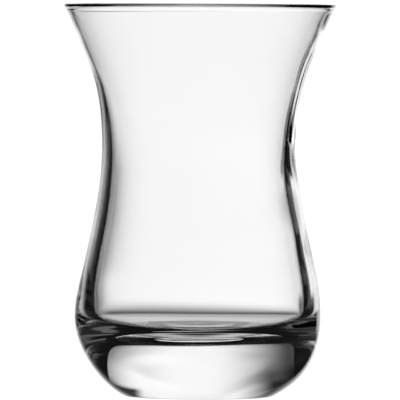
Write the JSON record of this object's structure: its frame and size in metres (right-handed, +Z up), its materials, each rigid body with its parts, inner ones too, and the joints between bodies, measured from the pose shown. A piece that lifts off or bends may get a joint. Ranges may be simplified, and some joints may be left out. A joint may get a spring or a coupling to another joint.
{
  "type": "turkish tea glass",
  "caption": "Small tulip-shaped clear glass tumbler with a flared rim, pinched waist, rounded belly and thick solid base.",
  "frame": {"origin": "centre of the foot, on the plane the glass stands on", "axes": "+Z up along the axis of revolution; X and Y are alike, as the glass is round"},
  "size_m": [0.061, 0.061, 0.088],
  "materials": {
    "clear_glass": "fire polished, clear"
  },
  "bodies": {
    "root": {"glass": "clear_glass"}
  },
  "joints": []
}
